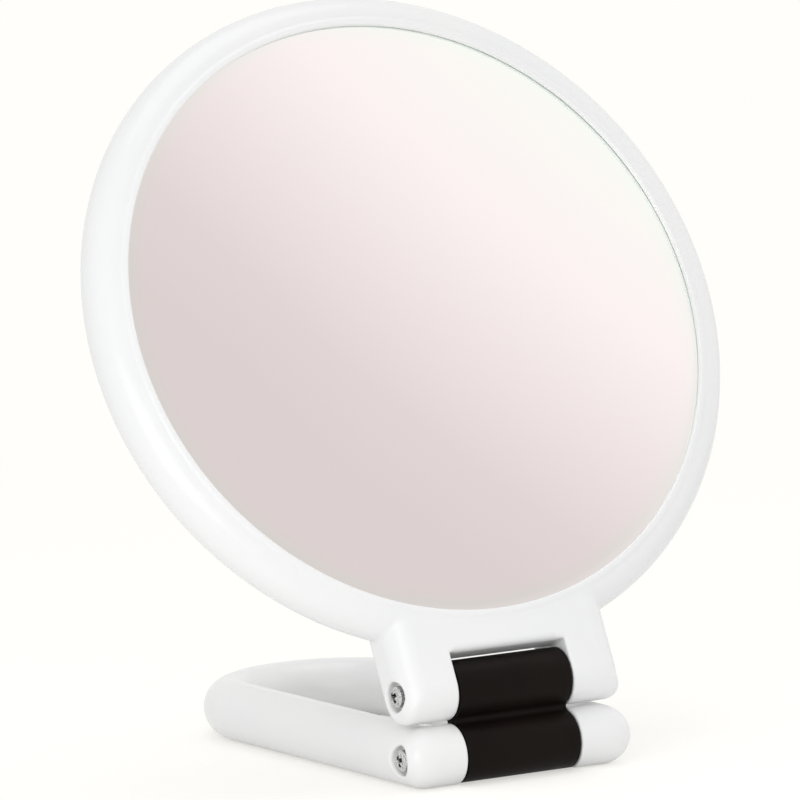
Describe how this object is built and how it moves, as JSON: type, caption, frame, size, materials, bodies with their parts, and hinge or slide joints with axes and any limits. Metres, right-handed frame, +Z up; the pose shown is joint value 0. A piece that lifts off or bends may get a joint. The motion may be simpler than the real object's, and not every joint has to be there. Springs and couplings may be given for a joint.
{
  "type": "hand mirror",
  "caption": "Round double-sided magnifying hand mirror on a black double-barrel hinge and a white loop handle that folds into a stand.",
  "frame": {"origin": "on the surface that the handle lies on, at the middle of the part's bounding box", "axes": "+X along the hinge axes, to the right of a user who faces the mirror; +Y from the hinge to the closed end of the handle loop; +Z up"},
  "size_m": [0.15, 0.1172, 0.1633],
  "materials": {
    "white_plastic": "polished white moulding",
    "black_plastic": "polished black moulding",
    "bush_plastic": "plain moulded bearing plastic",
    "sleeve_steel": "turned steel",
    "screw_metal": "bright plated steel",
    "washer_rubber": "dull black",
    "plate_plastic": "plain grey sheet",
    "foam": "closed-cell foam tape",
    "mirror_glass": "polished silvered glass"
  },
  "bodies": {
    "handle": {"handle_top_shell": "white_plastic", "handle_bottom_shell": "white_plastic", "lower_bush_left": "bush_plastic", "lower_bush_right": "bush_plastic"},
    "hinge_block": {"hinge_block": "black_plastic", "lower_axle_sleeve": "sleeve_steel", "upper_axle_sleeve": "sleeve_steel", "lower_screw_left": "screw_metal", "lower_screw_right": "screw_metal", "upper_screw_left": "screw_metal", "upper_screw_right": "screw_metal", "lower_washer_left": "washer_rubber", "lower_washer_right": "washer_rubber", "upper_washer_left": "washer_rubber", "upper_washer_right": "washer_rubber"},
    "mirror_head": {"front_frame": "white_plastic", "rear_frame": "white_plastic", "upper_bush_left": "bush_plastic", "upper_bush_right": "bush_plastic", "core_plate": "plate_plastic", "front_foam_pad": "foam", "rear_foam_pad": "foam", "magnifying_mirror": "mirror_glass", "plain_mirror": "mirror_glass"}
  },
  "joints": [
    {"name": "block_fold", "type": "hinge", "parent": "handle", "child": "hinge_block", "pos_m": [0, -0.0521, 0.0063], "axis": [1, 0, 0], "range_deg": [0, 200]},
    {"name": "head_tilt", "type": "hinge", "parent": "hinge_block", "child": "mirror_head", "pos_m": [0, -0.04977, 0.0195], "axis": [1, 0, 0], "range_deg": [-65, 95]}
  ]
}
